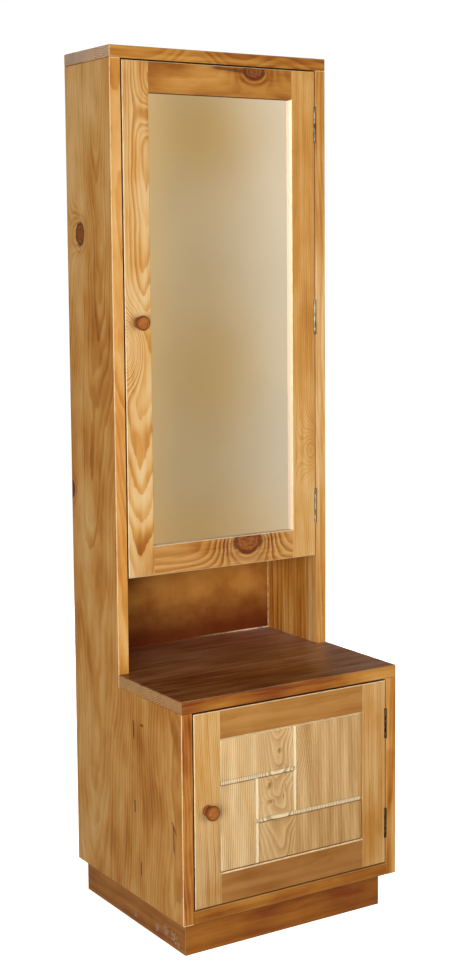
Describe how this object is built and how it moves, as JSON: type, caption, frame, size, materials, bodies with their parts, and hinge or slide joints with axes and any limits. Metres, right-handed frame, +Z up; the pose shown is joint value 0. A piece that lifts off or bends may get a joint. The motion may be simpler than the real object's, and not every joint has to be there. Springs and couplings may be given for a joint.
{
  "type": "salon styling station",
  "caption": "Tall pine styling unit: a mirror on a hinged cupboard door above an open niche and counter, over a base cupboard with a grooved panel door.",
  "frame": {"origin": "on the floor, under the middle of the whole unit's box, lower knob included", "axes": "+Z up, +X to the right and +Y to the back for someone facing the mirror"},
  "size_m": [0.524, 0.477, 1.8],
  "materials": {
    "carcass_pine": "satin varnish over stained pine",
    "counter_pine": "satin varnish over dark stained pine",
    "back_plywood": "satin varnished plywood",
    "plinth_pine": "satin varnish over dark stained pine",
    "shelf_pine": "satin",
    "dowel_beech": "raw",
    "zinc_screws": "zinc plated",
    "hinge_steel": "worn bronzed steel",
    "catch_plastic": "matte brown",
    "catch_magnet": "dark ferrite",
    "strike_steel": "zinc plated",
    "shelf_brass": "brushed",
    "door_pine": "satin varnish over pale pine",
    "brushed_pine": "wire brushed, matt",
    "mirror_silver": "silvered glass",
    "backing_board": "hardboard",
    "knob_wood": "gloss varnish"
  },
  "bodies": {
    "carcass": {"back_panel": "back_plywood", "back_panel_screws": "zinc_screws", "bottom_panel": "carcass_pine", "carcass_dowels": "dowel_beech", "catch_screws": "zinc_screws", "counter_top": "counter_pine", "hinge_frame_screws": "zinc_screws", "lower_cupboard_shelf": "shelf_pine", "lower_door_bottom_hinge_frame_leaf": "hinge_steel", "lower_door_bottom_hinge_pin": "hinge_steel", "lower_door_catch_case": "catch_plastic", "lower_door_catch_magnet": "catch_magnet", "lower_door_top_hinge_frame_leaf": "hinge_steel", "lower_door_top_hinge_pin": "hinge_steel", "mirror_cabinet_floor": "carcass_pine", "mirror_door_bottom_hinge_frame_leaf": "hinge_steel", "mirror_door_bottom_hinge_pin": "hinge_steel", "mirror_door_catch_case": "catch_plastic", "mirror_door_catch_magnet": "catch_magnet", "mirror_door_middle_hinge_frame_leaf": "hinge_steel", "mirror_door_middle_hinge_pin": "hinge_steel", "mirror_door_top_hinge_frame_leaf": "hinge_steel", "mirror_door_top_hinge_pin": "hinge_steel", "plinth_back": "plinth_pine", "plinth_corner_blocks": "plinth_pine", "plinth_front": "plinth_pine", "plinth_left": "plinth_pine", "plinth_right": "plinth_pine", "shelf_supports": "shelf_brass", "side_panel_left": "carcass_pine", "side_panel_right": "carcass_pine", "top_panel": "carcass_pine", "upper_shelf_lower": "shelf_pine", "upper_shelf_upper": "shelf_pine"},
    "mirror_door": {"mirror_backing_board": "backing_board", "mirror_bead_pins": "zinc_screws", "mirror_beads": "door_pine", "mirror_door_bottom_hinge_door_leaf": "hinge_steel", "mirror_door_bottom_rail": "door_pine", "mirror_door_catch_strike": "strike_steel", "mirror_door_hinge_screws": "zinc_screws", "mirror_door_hinge_stile": "door_pine", "mirror_door_knob": "knob_wood", "mirror_door_knob_screw": "zinc_screws", "mirror_door_knob_stile": "door_pine", "mirror_door_middle_hinge_door_leaf": "hinge_steel", "mirror_door_top_hinge_door_leaf": "hinge_steel", "mirror_door_top_rail": "door_pine", "mirror_glass": "mirror_silver"},
    "lower_door": {"lower_door_bottom_hinge_door_leaf": "hinge_steel", "lower_door_bottom_rail": "door_pine", "lower_door_catch_strike": "strike_steel", "lower_door_hinge_screws": "zinc_screws", "lower_door_hinge_stile": "door_pine", "lower_door_knob": "knob_wood", "lower_door_knob_screw": "zinc_screws", "lower_door_knob_stile": "door_pine", "lower_door_panel": "brushed_pine", "lower_door_top_hinge_door_leaf": "hinge_steel", "lower_door_top_rail": "door_pine"}
  },
  "joints": [
    {"name": "mirror_door_hinge", "type": "hinge", "parent": "carcass", "child": "mirror_door", "pos_m": [0.234, 0.0405, 1.2485], "axis": [0, 0, 1], "range_deg": [0, 165]},
    {"name": "lower_door_hinge", "type": "hinge", "parent": "carcass", "child": "lower_door", "pos_m": [0.234, -0.2115, 0.2995], "axis": [0, 0, 1], "range_deg": [0, 165]}
  ]
}
